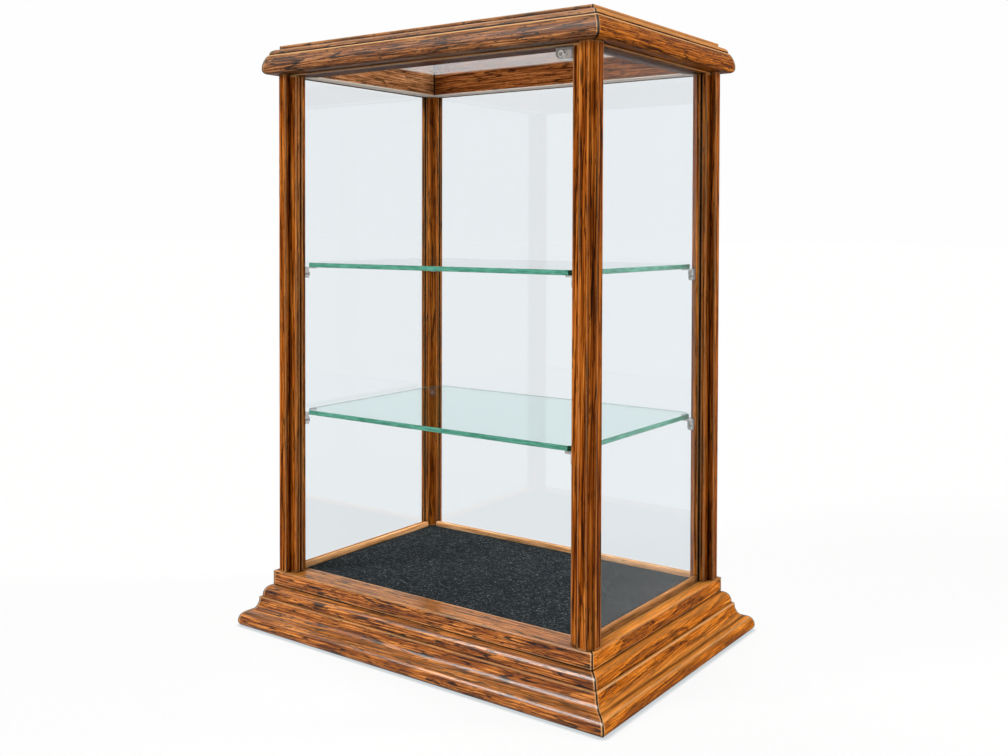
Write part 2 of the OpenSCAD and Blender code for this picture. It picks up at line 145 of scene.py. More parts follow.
def stainedOak(name, along, pith, tilt, **changes):
    # along: the board's length; pith: where the middle of its tree lies, in mm across the board;
    # tilt: how far its grain leans, in degrees; changes: what differs from oakLook
    look = dict(oakLook, **changes)
    material, tree = newMaterial(name)
    place = addNode(tree, "ShaderNodeTexCoord").outputs["Object"]
    lean = Euler((math.radians(tilt[0]), math.radians(tilt[1]), 0)).to_matrix()
    board = addNode(tree, "ShaderNodeMapping", None, {
        "Vector": place, "Scale": (1000, 1000, 1000), "Location": pith,
        "Rotation": (lean @ toGrain[along]).to_euler()}).outputs[0]  # now in mm

    def streaks(width, length, detail, shift=0.0):
        # noise drawn out along the grain; the shift keeps one pattern off another
        drawn = addNode(tree, "ShaderNodeVectorMath", {"operation": "MULTIPLY_ADD"}, {
            0: board, 1: (1 / width, 1 / width, 1 / length), 2: (shift, shift, shift)}).outputs[0]
        return addNode(tree, "ShaderNodeTexNoise", None, {
            "Vector": drawn, "Scale": 1.0, "Detail": detail, "Roughness": 0.6})

    # rings round the pith, bent by slow changes along the trunk
    bend = streaks(look["bendWidth"], look["bendLength"], detail=1.5).outputs["Color"]
    bend = addNode(tree, "ShaderNodeVectorMath", {"operation": "MULTIPLY_ADD"}, {
        0: bend, 1: (look["bend"], look["bend"], 0),
        2: (-look["bend"] / 2, -look["bend"] / 2, 0)}).outputs[0]
    bent = addNode(tree, "ShaderNodeVectorMath", {"operation": "ADD"}, {0: board, 1: bend}).outputs[0]
    flat = addNode(tree, "ShaderNodeVectorMath", {"operation": "MULTIPLY"}, {
        0: bent, 1: (1, 1, 0)}).outputs[0]
    radius = addNode(tree, "ShaderNodeVectorMath", {"operation": "LENGTH"}, {0: flat}).outputs["Value"]
    rings = addNode(tree, "ShaderNodeMath", {"operation": "DIVIDE"}, {
        0: radius, 1: look["ringWidth"]}).outputs[0]
    phase = addNode(tree, "ShaderNodeMath", {"operation": "FRACT"}, {0: rings}).outputs[0]
    earlyWood = addNode(tree, "ShaderNodeValToRGB", {"stops": look["early"]}, {
        "Fac": phase}).outputs["Color"]

    # fibre, rings and cloudy patches deepen the stain
    fibre = streaks(look["fibreWidth"], look["fibreLength"], detail=3.0, shift=3.7).outputs["Fac"]
    patch = streaks(look["patchWidth"], look["patchLength"], detail=2.0, shift=9.1).outputs["Fac"]
    tone = look["plainTone"]
    for pattern, depth in ((fibre, look["fibreDepth"]), (earlyWood, look["ringDepth"]),
                           (patch, look["patchDepth"])):
        tone = addNode(tree, "ShaderNodeMath", {"operation": "MULTIPLY_ADD"}, {
            0: pattern, 1: depth, 2: tone}).outputs[0]
    browns = zip(look["places"], (look["light"], look["middle"], look["dark"]))
    stained = addNode(tree, "ShaderNodeValToRGB", {"stops": list(browns)}, {"Fac": tone}).outputs["Color"]

    # long thin veins follow the level lines at the middle of a drawn out noise
    vein = streaks(look["veinWidth"], look["veinLength"], detail=1.0, shift=5.3).outputs["Fac"]
    vein = addNode(tree, "ShaderNodeMath", {"operation": "SUBTRACT"}, {0: vein, 1: 0.5}).outputs[0]
    vein = addNode(tree, "ShaderNodeMath", {"operation": "ABSOLUTE"}, {0: vein}).outputs[0]
    vein = addNode(tree, "ShaderNodeMapRange", {"interpolation_type": "SMOOTHSTEP"}, {
        "Value": vein, "From Min": look["veinEdge"][0], "From Max": look["veinEdge"][1],
        "To Min": look["vein"], "To Max": 0.0}).outputs[0]
    kept = streaks(look["breakWidth"], look["breakLength"], detail=1.0, shift=7.7).outputs["Fac"]
    kept = addNode(tree, "ShaderNodeMapRange", None, {
        "Value": kept, "From Min": look["breakEdge"][0], "From Max": look["breakEdge"][1]}).outputs[0]
    vein = addNode(tree, "ShaderNodeMath", {"operation": "MULTIPLY"}, {0: vein, 1: kept}).outputs[0]

    # broken line where each ring begins
    start = addNode(tree, "ShaderNodeMapRange", None, {
        "Value": phase, "From Min": 0.0, "From Max": look["lineWidth"],
        "To Min": look["ringLine"], "To Max": 0.0}).outputs[0]
    broken = addNode(tree, "ShaderNodeMapRange", None, {
        "Value": fibre, "From Min": look["lineBreaks"][0], "From Max": look["lineBreaks"][1]}).outputs[0]
    start = addNode(tree, "ShaderNodeMath", {"operation": "MULTIPLY"}, {0: start, 1: broken}).outputs[0]
    vein = addNode(tree, "ShaderNodeMath", {"operation": "MAXIMUM"}, {0: vein, 1: start}).outputs[0]
    stained = addNode(tree, "ShaderNodeMix", {"data_type": "RGBA"}, {
        "Factor": vein, 6: stained, 7: linear(look["pore"])}).outputs[2]

    # pores are short dashes that crowd into the early wood
    reach = addNode(tree, "ShaderNodeMath", {"operation": "MULTIPLY_ADD"}, {
        0: earlyWood, 1: look["poreCrowd"], 2: look["poreReach"]}).outputs[0]
    height = fibre
    for width, length, depth in look["pores"]:
        shift = look["poreShift"] * width
        cells = addNode(tree, "ShaderNodeVectorMath", {"operation": "MULTIPLY_ADD"}, {
            0: bent, 1: (1 / width, 1 / width, 1 / length), 2: (shift, shift, shift)}).outputs[0]
        cell = addNode(tree, "ShaderNodeTexVoronoi", None, {
            "Vector": cells, "Scale": 1.0}).outputs["Distance"]
        inside = addNode(tree, "ShaderNodeMath", {"operation": "SUBTRACT"}, {0: reach, 1: cell}).outputs[0]
        dash = addNode(tree, "ShaderNodeMapRange", {"interpolation_type": "SMOOTHSTEP"}, {
            "Value": inside, "From Min": look["poreEdge"][0], "From Max": look["poreEdge"][1],
            "To Max": depth}).outputs[0]
        stained = addNode(tree, "ShaderNodeMix", {"data_type": "RGBA"}, {
            "Factor": dash, 6: stained, 7: linear(look["pore"])}).outputs[2]
        height = addNode(tree, "ShaderNodeMath", {"operation": "SUBTRACT"}, {0: height, 1: dash}).outputs[0]

    # painted light: what faces up is lighter, as if lit from above
    up = addNode(tree, "ShaderNodeSeparateXYZ", None, {
        0: addNode(tree, "ShaderNodeNewGeometry").outputs["Normal"]}).outputs["Z"]
    litFromAbove = addNode(tree, "ShaderNodeMapRange", {"interpolation_type": "SMOOTHSTEP"}, {
        "Value": up, "From Min": look["topLightFacing"][0], "From Max": look["topLightFacing"][1],
        "To Max": look["topLightShare"]}).outputs[0]
    stained = addNode(tree, "ShaderNodeMix", {"data_type": "RGBA"}, {
        "Factor": litFromAbove, 6: stained, 7: linear(look["faded"])}).outputs[2]

    # the arrises are painted lighter: wear, with a painted highlight on them
    arrisOpenness = addNode(tree, "ShaderNodeAmbientOcclusion", {
        "samples": 4, "inside": True, "only_local": True}, {"Distance": look["wornHighlightReach"]}).outputs["AO"]
    wornAndLit = addNode(tree, "ShaderNodeMapRange", {"interpolation_type": "SMOOTHSTEP"}, {
        "Value": arrisOpenness, "From Min": look["wornHighlightEdge"][0], "From Max": look["wornHighlightEdge"][1],
        "To Min": look["wornHighlight"], "To Max": 0.0}).outputs[0]
    patchy = addNode(tree, "ShaderNodeMath", {"operation": "MULTIPLY_ADD"}, {
        0: broken, 1: 1 - look["wornHighlightSteady"], 2: look["wornHighlightSteady"]}).outputs[0]
    wornAndLit = addNode(tree, "ShaderNodeMath", {"operation": "MULTIPLY"}, {0: wornAndLit, 1: patchy}).outputs[0]
    wornLitFacing = addNode(tree, "ShaderNodeMapRange", None, {
        "Value": up, "From Min": look["wornHighlightFacing"][0], "From Max": look["wornHighlightFacing"][1]}).outputs[0]
    wornAndLit = addNode(tree, "ShaderNodeMath", {"operation": "MULTIPLY"}, {0: wornAndLit, 1: wornLitFacing}).outputs[0]
    stained = addNode(tree, "ShaderNodeMix", {"data_type": "RGBA"}, {
        "Factor": wornAndLit, 6: stained, 7: linear(look["edge"])}).outputs[2]

    # fine dark line where two rails meet in a mitre; posts have none
    if along != "Z":
        corner = addNode(tree, "ShaderNodeVectorMath", {"operation": "ABSOLUTE"}, {0: place}).outputs[0]
        corner = addNode(tree, "ShaderNodeSeparateXYZ", None, {0: corner})
        gap = addNode(tree, "ShaderNodeMath", {"operation": "SUBTRACT"}, {
            0: corner.outputs["X"], 1: corner.outputs["Y"]}).outputs[0]
        gap = addNode(tree, "ShaderNodeMath", {"operation": "SUBTRACT"}, {0: gap, 1: mitreOffset}).outputs[0]
        gap = addNode(tree, "ShaderNodeMath", {"operation": "ABSOLUTE"}, {0: gap}).outputs[0]
        mitre = addNode(tree, "ShaderNodeMapRange", None, {
            "Value": gap, "From Min": look["mitre"], "From Max": look["mitre"] + look["mitreEdge"],
            "To Min": look["mitreDepth"], "To Max": 0.0}).outputs[0]
        stained = addNode(tree, "ShaderNodeMix", {"data_type": "RGBA"}, {
            "Factor": mitre, 6: stained, 7: linear(look["stainAndShade"])}).outputs[2]

    # painted shade: the undersides are darker
    underShade = addNode(tree, "ShaderNodeMapRange", {"interpolation_type": "SMOOTHSTEP"}, {
        "Value": up, "From Min": look["underShadeFacing"][0], "From Max": look["underShadeFacing"][1],
        "To Min": look["under"], "To Max": 0.0}).outputs[0]
    stained = addNode(tree, "ShaderNodeMix", {"data_type": "RGBA"}, {
        "Factor": underShade, 6: stained, 7: linear(look["stainAndShade"])}).outputs[2]

    # painted lines along the moulding: shade in a quirk, or a highlight on an arris
    level = addNode(tree, "ShaderNodeSeparateXYZ", None, {0: place}).outputs["Z"]
    for lineHeight, halfWidth, finish, depth in look["shadeAndHighlightLines"]:
        off = addNode(tree, "ShaderNodeMath", {"operation": "SUBTRACT"}, {0: level, 1: lineHeight}).outputs[0]
        off = addNode(tree, "ShaderNodeMath", {"operation": "ABSOLUTE"}, {0: off}).outputs[0]
        line = addNode(tree, "ShaderNodeMapRange", None, {
            "Value": off, "From Min": halfWidth, "From Max": halfWidth + look["lineEdge"],
            "To Min": depth, "To Max": 0.0}).outputs[0]
        stained = addNode(tree, "ShaderNodeMix", {"data_type": "RGBA"}, {
            "Factor": line, 6: stained, 7: linear(look[finish])}).outputs[2]

    # painted shade in quirks and corners: darker where the surface is less open
    for distance, depth, softness in look["creaseShades"]:
        openness = addNode(tree, "ShaderNodeAmbientOcclusion", {
            "samples": 5, "only_local": look["ownQuirkShade"]}, {"Distance": distance}).outputs["AO"]
        creaseShade = addNode(tree, "ShaderNodeMapRange", {"interpolation_type": "SMOOTHSTEP"}, {
            "Value": openness, "From Min": look["creaseShadeFull"], "From Max": look["creaseShadeFull"] + softness,
            "To Min": depth, "To Max": 0.0}).outputs[0]
        stained = addNode(tree, "ShaderNodeMix", {"data_type": "RGBA"}, {
            "Factor": creaseShade, 6: stained, 7: linear(look["stainAndShade"])}).outputs[2]

    grain = addNode(tree, "ShaderNodeBump", None, {
        "Strength": look["grainBump"], "Distance": look["poreHeight"], "Height": height}).outputs[0]
    film = addNode(tree, "ShaderNodeBump", None, {
        "Strength": look["coatBump"], "Distance": look["poreHeight"], "Height": height}).outputs[0]
    surface = addNode(tree, "ShaderNodeBsdfPrincipled", None, {
        "Base Color": stained, "Roughness": look["roughness"], "IOR": 1.5, "Normal": grain,
        "Specular IOR Level": look["shine"], "Coat Weight": look["coat"],
        "Coat Roughness": look["coatRoughness"], "Coat Normal": film})
    addNode(tree, "ShaderNodeOutputMaterial", None, {"Surface": surface.outputs[0]})
    return material


edgeLook = {"rail": 0.0004, "small": 0.0003,  # m, width of an eased edge on rails and on small pieces
            "segments": 2, "easeFrom": 40,    # degrees, only sharper edges are eased
            "crispFrom": 34,                  # degrees, sharper edges stay crisp
            "weld": 0.00001}                  # m, joins the points that faces share


def dress(node, material, eased=0.0):
    # gives a CAD node its finish, smooth shading on its curves and slightly eased edges
    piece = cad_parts[node]
    piece.data.materials.clear()
    piece.data.materials.append(material)
    piece.data.polygons.foreach_set("use_smooth", [True] * len(piece.data.polygons))
    weld = piece.modifiers.new("Weld", "WELD")
    weld.merge_threshold = edgeLook["weld"]
    if eased:
        ease = piece.modifiers.new("Eased edges", "BEVEL")
        ease.width = eased
        ease.segments = edgeLook["segments"]
        ease.limit_method = "ANGLE"
        ease.angle_limit = math.radians(edgeLook["easeFrom"])
    split = piece.modifiers.new("Crisp edges", "EDGE_SPLIT")
    split.split_angle = math.radians(edgeLook["crispFrom"])
    even = piece.modifiers.new("Flat faces stay flat", "WEIGHTED_NORMAL")
    even.keep_sharp = True


footShade = (0.0, 0.0014, "stainAndShade", 0.75)  # painted shade where the plinth meets the floor
# painted shade on the ledge under the crown's bead, and a painted highlight on the arris of the fascia below
# it
notchShadeAndHighlight = [(0.6152, 0.0006, "stainAndShade", 0.9), (0.6139, 0.0004, "edge", 0.75)]
frameArrisHighlight = (0.5922, 0.0003, "edge", 0.85)  # painted highlight on the lower arris of the inner frame
finishes = {
    "plinth": {},
    "post": {  # posts took more stain; their pores run long
        "light": "#CE7C30", "middle": "#94480B", "dark": "#451C03", "wornHighlight": 0.5,
        "creaseShades": [(0.006, 0.1, 0.4), (0.0024, 0.98, 0.42)],
        "pores": [(1.9, 32.0, 0.85), (1.4, 22.0, 0.75)],
        "veinLength": 150.0, "vein": 0.8, "breakLength": 45.0, "fibreLength": 100.0},
    # crown: painted light on what faces up, deeper painted shade in its quirks, and painted shade and
    # highlight at the notch
    "crown": {
        "mitre": 0.0013, "topLightShare": 0.25, "shadeAndHighlightLines": notchShadeAndHighlight,
        "creaseShades": [(0.006, 0.45, 0.4), (0.0018, 0.98, 0.45)]},
    "frame": {  # inner frame: painted darker as shade under the crown, and with less wear
        "light": "#985C2E", "middle": "#763F19", "dark": "#4A220B", "wornHighlight": 0.3, "vein": 0.75,
        "pores": [(1.7, 15.0, 0.8), (1.3, 10.0, 0.7)],
        "ownQuirkShade": True},  # no painted shade from the top glass, which only lies on it
}
# each board's length, the middle of its tree, the lean of its grain, and what is its own
boards = {
    "plinth_front": ("X", (46, -30, 20), (1.4, 0.6), {
        "coat": 0.52, "coatRoughness": 0.2, "vein": 0.93, "pore": "#0A0300",
        "pores": [(1.9, 21.0, 0.88), (1.4, 14.0, 0.8)], "fibreLength": 60.0, "shadeAndHighlightLines": [footShade]}),
    "plinth_back": ("X", (60, 22, 90), (-1.0, 0.8), {}),
    "plinth_left": ("Y", (52, 40, 60), (1.1, -0.7), {}),
    # right plinth: painted light on what faces up, broad painted shade in its quirks, and painted lines of
    # shade and highlight
    "plinth_right": ("Y", (30, 58, 10), (-1.6, 1.5), {
        "light": "#F8A03C", "middle": "#D67616", "dark": "#92501C", "pore": "#240C02",
        "ringWidth": 5.0, "ringDepth": 0.34, "ringLine": 0.92, "vein": 0.65, "pores": [(1.6, 9.0, 0.88)],
        "faded": "#F4A24C", "topLightShare": 0.45, "creaseShades": [(0.012, 0.5, 0.4), (0.0018, 0.98, 0.45)],
        "shadeAndHighlightLines": [(0.0298, 0.0006, "edge", 0.6),       # painted highlight on the arris over the cove
                  (0.01585, 0.00015, "stainAndShade", 0.6),    # painted shade at the foot of the cove
                  (0.0137, 0.0006, "edge", 0.3),       # painted highlight on the nose of the toe
                  footShade]}),
    "post_front_left": ("Z", (62, 150, 0), (0.4, 0.3), {}),
    "post_front_right": ("Z", (-150, 92, 300), (0.3, -0.4), {}),
    "post_back_left": ("Z", (150, -60, 120), (-0.3, 0.4), {}),
    "post_back_right": ("Z", (-120, -90, 45), (0.4, 0.2), {}),
    "crown_front": ("X", (590, 60, 200), (0.9, 0.5), {
        "light": "#BF8350", "middle": "#884F22", "dark": "#4C260C", "pore": "#080200",
        "coat": 0.35, "coatRoughness": 0.4, "vein": 0.95, "pores": [(2.6, 13.0, 0.98), (1.8, 8.0, 0.96)]}),
    "crown_back": ("X", (640, -70, 30), (0.6, -0.8), {}),
    "crown_left": ("Y", (-90, 600, 0), (0.7, 0.7), {}),
    "crown_right": ("Y", (60, 630, 80), (-0.8, 0.6), {
        "light": "#DA8530", "middle": "#A75810", "coat": 0.0, "shine": 0.02,
        "ringLine": 0.3, "vein": 0.7, "pores": [(2.0, 12.0, 0.85), (1.5, 8.0, 0.8)],
        "shadeAndHighlightLines": [(0.6208, 0.0042, "faded", 0.5)] + notchShadeAndHighlight}),  # painted light on its bead and top step
    "frame_front": ("X", (560, 30, 0), (0.5, 0.6), {}),
    # frame_back and frame_left: a pale edge colour for the painted highlight on their lower arris; frame_left
    # is also painted lighter, as if lit
    "frame_back": ("X", (650, 10, 170), (-0.6, 0.5), {"edge": "#EADCD0", "shadeAndHighlightLines": [frameArrisHighlight]}),
    "frame_left": ("Y", (-40, 650, 0), (0.5, -0.6), {
        "light": "#C48A5C", "middle": "#A06840", "dark": "#643A1E", "edge": "#EADCD0",
        "shadeAndHighlightLines": [frameArrisHighlight]}),
    "frame_right": ("Y", (80, 560, 0), (0.6, 0.4), {}),
}
for node, (along, pith, tilt, own) in boards.items():
    changes = dict(finishes[node.split("_")[0]], **own)
    oak = stainedOak("Stained lacquered oak " + node, along, pith, tilt, **changes)
    dress(node, oak, eased=edgeLook["rail"])

# Lips beside the panes: the same oak, hardly stained and painted lighter as if lit, to make up for the lamp
# light that the glass holds back
paleLitStain = {"light": "#FCC592", "middle": "#F0AE78", "dark": "#CB8850", "vein": 0.3, "ringLine": 0.2,
             "pores": [(1.5, 9.0, 0.3)], "creaseShades": [(0.003, 0.3, 0.5)], "wornHighlight": 0.2}
lips = {
    "lip_left": ("Y", {}),
    "lip_back": ("X", {}),
    # the right lip is painted darker, as shade behind its pane
    "lip_right": ("Y", {"light": "#C58A58", "middle": "#A46A3C", "dark": "#7C4A24"}),
}
for node, (along, own) in lips.items():
    changes = dict(paleLitStain, **own)
    paleLitOak = stainedOak("Light lacquered oak " + node, along, (40, 40, 10), (1, 0.5), **changes)
    dress(node, paleLitOak, eased=edgeLook["small"])
print("oak rails, posts and lips dressed")


# Plain woods inside: beech dowels and biscuits, birch plywood board. Pale, matt and even.
beechLook = {"light": "#D9B68A", "dark": "#B98D5C", "fibreLength": 12.0}  # mm
birchLook = {"light": "#D8BE95", "dark": "#B9975F", "fibreLength": 60.0}
plainFinish = {"fibreWidth": 2.5, "tones": (0.3, 0.75), "roughness": 0.7}  # mm, real fibres are finer


def plainWood(name, look):
    material, tree = newMaterial(name)
    place = addNode(tree, "ShaderNodeTexCoord").outputs["Object"]
    across = 1000 / plainFinish["fibreWidth"]
    stretched = addNode(tree, "ShaderNodeVectorMath", {"operation": "MULTIPLY"}, {
        0: place, 1: (1000 / look["fibreLength"], across, across)}).outputs[0]
    fibre = addNode(tree, "ShaderNodeTexNoise", None, {
        "Vector": stretched, "Scale": 1.0, "Detail": 3.0}).outputs["Fac"]
    browns = zip(plainFinish["tones"], (look["light"], look["dark"]))
    tone = addNode(tree, "ShaderNodeValToRGB", {"stops": list(browns)}, {"Fac": fibre}).outputs["Color"]
    surface = addNode(tree, "ShaderNodeBsdfPrincipled", None, {
        "Base Color": tone, "Roughness": plainFinish["roughness"], "IOR": 1.5})
    addNode(tree, "ShaderNodeOutputMaterial", None, {"Surface": surface.outputs[0]})
    return material


beech = plainWood("Turned beech", beechLook)
birchPly = plainWood("Sanded birch plywood", birchLook)
for node in ("lower_dowels", "upper_dowels", "plinth_biscuits", "crown_biscuits"):
    dress(node, beech)
dress("floor_board", birchPly)


# Zinc plated steel: cool grey, dull mirror with faint uneven patches.
steelLook = {"dark": "#8E9092", "light": "#B9BBBC", "tones": (0.3, 0.7), "roughness": 0.35,
             "patches": 900.0}  # per metre, so about 1 mm each


def platedSteel(look):
    material, tree = newMaterial("Zinc plated steel")
    place = addNode(tree, "ShaderNodeTexCoord").outputs["Object"]
    patch = addNode(tree, "ShaderNodeTexNoise", None, {
        "Vector": place, "Scale": look["patches"], "Detail": 3.0}).outputs["Fac"]
    greys = zip(look["tones"], (look["dark"], look["light"]))
    tone = addNode(tree, "ShaderNodeValToRGB", {"stops": list(greys)}, {"Fac": patch}).outputs["Color"]
    surface = addNode(tree, "ShaderNodeBsdfPrincipled", None, {
        "Base Color": tone, "Metallic": 1.0, "Roughness": look["roughness"]})
    addNode(tree, "ShaderNodeOutputMaterial", None, {"Surface": surface.outputs[0]})
    return material


steel = platedSteel(steelLook)
for node in ("floor_screws", "support_nails", "catch_screw"):
    dress(node, steel)


# Float glass: clear, glossy and dead flat, with a slight blue-grey cast, or green in the thicker shelves.
glassLook = {"index": 1.5,           # soda lime glass
             "lampLoss": "#C6C9C8"}  # lamp light loses some of its strength in each sheet


def floatGlass(name, face, index=glassLook["index"]):
    material, tree = newMaterial(name)
    surface = addNode(tree, "ShaderNodeBsdfPrincipled", None, {
        "Base Color": linear(face), "Roughness": 0.0, "IOR": index, "Transmission Weight": 1.0})
    clear = addNode(tree, "ShaderNodeBsdfTransparent", None, {"Color": linear(glassLook["lampLoss"])})
    ray = addNode(tree, "ShaderNodeLightPath")
    mixed = addNode(tree, "ShaderNodeMixShader", None, {
        0: ray.outputs["Is Shadow Ray"], 1: surface.outputs[0], 2: clear.outputs[0]})
    addNode(tree, "ShaderNodeOutputMaterial", None, {"Surface": mixed.outputs[0]})
    return material


paneGlass = floatGlass("Float glass with a blue grey cast", "#E9EEF1")
topGlass = floatGlass("Thin float glass", "#F8FAFB", index=1.28)  # seen at a low angle, gloss held back
clearPane = floatGlass("Clear float glass", "#FCFDFE", index=1.17)  # index brought down to its weaker gloss
for node in ("pane_left", "pane_back"):
    dress(node, paneGlass)
dress("top_glass", topGlass)
dress("pane_right", clearPane)


# Ground edges of the shelves: light runs along the sheet and leaves as deep teal.
groundLook = {"streaks": (90, 90, 700),  # per metre, about 11 mm long and 1.4 mm high
              "tones": (0.35, 0.65), "roughness": 0.25, "through": 0.15}  # share of the light that passes
edgeTeal = {"light": "#58A890", "dark": "#2A8068"}
cornerTeal = {"light": "#1F5A48", "dark": "#0C3A2C"}


def groundEdge(name, teal, look):
    material, tree = newMaterial(name)
    place = addNode(tree, "ShaderNodeTexCoord").outputs["Object"]
    streak = addNode(tree, "ShaderNodeVectorMath", {"operation": "MULTIPLY"}, {
        0: place, 1: look["streaks"]}).outputs[0]
    cloud = addNode(tree, "ShaderNodeTexNoise", None, {
        "Vector": streak, "Scale": 1.0, "Detail": 2.0}).outputs["Fac"]
    greens = zip(look["tones"], (teal["light"], teal["dark"]))
    tone = addNode(tree, "ShaderNodeValToRGB", {"stops": list(greens)}, {"Fac": cloud}).outputs["Color"]
    surface = addNode(tree, "ShaderNodeBsdfPrincipled", None, {
        "Base Color": tone, "Roughness": look["roughness"], "IOR": 1.5,
        "Transmission Weight": look["through"]})
    addNode(tree, "ShaderNodeOutputMaterial", None, {"Surface": surface.outputs[0]})
    return material


shelfFace = floatGlass("Shelf float glass", "#DDF1EE")
shelfEdge = groundEdge("Ground glass edge", edgeTeal, groundLook)
cutCorner = groundEdge("Cut glass corner", cornerTeal, groundLook)
shelfLook = {"cut": 0.0101, "arris": 0.0004, "level": 1e-6}  # m; an edge that rises less lies level


def glassShelf(name, node, look):
    # a slab with cut corners, its long arrises ground off
    low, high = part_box(node)
    cut = look["cut"]
    corners = [(high.x, high.y - cut), (high.x - cut, high.y), (low.x + cut, high.y), (low.x, high.y - cut),
               (low.x, low.y + cut), (low.x + cut, low.y), (high.x - cut, low.y), (high.x, low.y + cut)]
    mesh = bmesh.new()
    bottom = [mesh.verts.new((x, y, low.z)) for x, y in corners]
    top = [mesh.verts.new((x, y, high.z)) for x, y in corners]
    mesh.faces.new(list(reversed(bottom)))
    mesh.faces.new(top)
    for i in range(len(corners)):
        after = (i + 1) % len(corners)
        face = mesh.faces.new((bottom[i], bottom[after], top[after], top[i]))
        face.material_index = 2 if i % 2 == 0 else 1  # every other side is a cut corner
    level = [edge for edge in mesh.edges
             if abs(edge.verts[0].co.z - edge.verts[1].co.z) < look["level"]]
    bmesh.ops.bevel(mesh, geom=level, offset=look["arris"], segments=1, affect="EDGES", material=1)
    shape = bpy.data.meshes.new(name)
    mesh.to_mesh(shape)
    mesh.free()
    for material in (shelfFace, shelfEdge, cutCorner):
        shape.materials.append(material)
    shelf = bpy.data.objects.new(name, shape)
    bpy.context.scene.collection.objects.link(shelf)
    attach(shelf, look["body"])
    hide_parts(node)
    return shelf


glassShelf("lowerShelfGlass", "shelf_lower", dict(shelfLook, body="lower_shelf"))
glassShelf("upperShelfGlass", "shelf_upper", dict(shelfLook, body="upper_shelf"))
print("glass in place")


# Clear injection moulded polystyrene: greyish, soft edges, slightly cloudy.
plasticLook = {"colour": "#D9D6D2", "roughness": 0.18, "index": 1.49,
               "through": 0.75,                        # share of the light that passes
               "flow": 2.5,                            # mm, waves left by the mould
               "flowBump": 0.2, "flowHeight": 0.0003}  # m


def mouldedClear(look):
    material, tree = newMaterial("Clear moulded polystyrene")
    place = addNode(tree, "ShaderNodeTexCoord").outputs["Object"]
    cloud = addNode(tree, "ShaderNodeTexNoise", None, {
        "Vector": place, "Scale": 1000 / look["flow"], "Detail": 2.0}).outputs["Fac"]
    flow = addNode(tree, "ShaderNodeBump", None, {
        "Strength": look["flowBump"], "Distance": look["flowHeight"], "Height": cloud}).outputs[0]
    surface = addNode(tree, "ShaderNodeBsdfPrincipled", None, {
        "Base Color": linear(look["colour"]), "Roughness": look["roughness"], "IOR": look["index"],
        "Transmission Weight": look["through"], "Normal": flow})
    addNode(tree, "ShaderNodeOutputMaterial", None, {"Surface": surface.outputs[0]})
    return material


clearPlastic = mouldedClear(plasticLook)
supports = [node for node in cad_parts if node.startswith("support_") and node != "support_nails"]
for node in supports + ["front_catch"]:
    dress(node, clearPlastic, eased=edgeLook["small"])


# Moulded nylon: milky white, dull, with a faint mottle.
nylonLook = {"light": "#F1EFEA", "dark": "#DEDCD6", "tones": (0.3, 0.7), "roughness": 0.4, "index": 1.53,
             "mottle": 1.25}  # mm


def mouldedNylon(look):
    material, tree = newMaterial("White moulded nylon")
    place = addNode(tree, "ShaderNodeTexCoord").outputs["Object"]
    mottle = addNode(tree, "ShaderNodeTexNoise", None, {
        "Vector": place, "Scale": 1000 / look["mottle"]}).outputs["Fac"]
    whites = zip(look["tones"], (look["light"], look["dark"]))
    tone = addNode(tree, "ShaderNodeValToRGB", {"stops": list(whites)}, {"Fac": mottle}).outputs["Color"]
    surface = addNode(tree, "ShaderNodeBsdfPrincipled", None, {
        "Base Color": tone, "Roughness": look["roughness"], "IOR": look["index"]})
    addNode(tree, "ShaderNodeOutputMaterial", None, {"Surface": surface.outputs[0]})
    return material


dress("catch_roller", mouldedNylon(nylonLook))
print("supports and catch dressed")


# Charcoal wool felt, cut to fit inside the plinth: matt, furry, with curled fibres and specks of lint.
feltLook = {
    "base": "#111417", "light": "#23272B", "tones": (0.35, 0.75),
    "mottle": 0.35,                       # per mm, so clouds of about 3 mm
    "fibre": "#757B7F", "fibreDepth": 0.8, "fibreEdge": (0.02, 0.12),
    "curls": [(5.0, 0.0), (3.4, 40.0)],   # mm across a curl, and a shift; real ones are finer
    "levels": 6.0,                        # level lines of each noise that carry a fibre
    "gaps": 0.3, "gapEdge": (0.5, 0.6),   # per mm, where the fibres dip out of sight
    "lint": "#D8D8D2", "lintDepth": 0.7,
    "lintSpots": 0.09, "lintEdge": (0.035, 0.06),  # per mm, so a speck in about every 11 mm
    "rim": 0.0012, "rimShade": "#050607", "rimDepth": 0.95,  # m, cut edge that lies in shade
    "nap": 0.9, "napBump": 0.8, "napHeight": 0.0008,  # per mm, coarser than real wool; and m
    "roughness": 0.95, "shine": 0.03, "sheen": 0.06, "sheenRoughness": 0.5, "sheenTint": "#9AA0A6",
    "step": 0.003,                        # m, grid of the sheet
    "wave": 0.00012, "waves": 160, "waveLayer": 4.0,  # m, height of its waves; how many in a metre;
                                          # layer of the noise that they are taken from
}


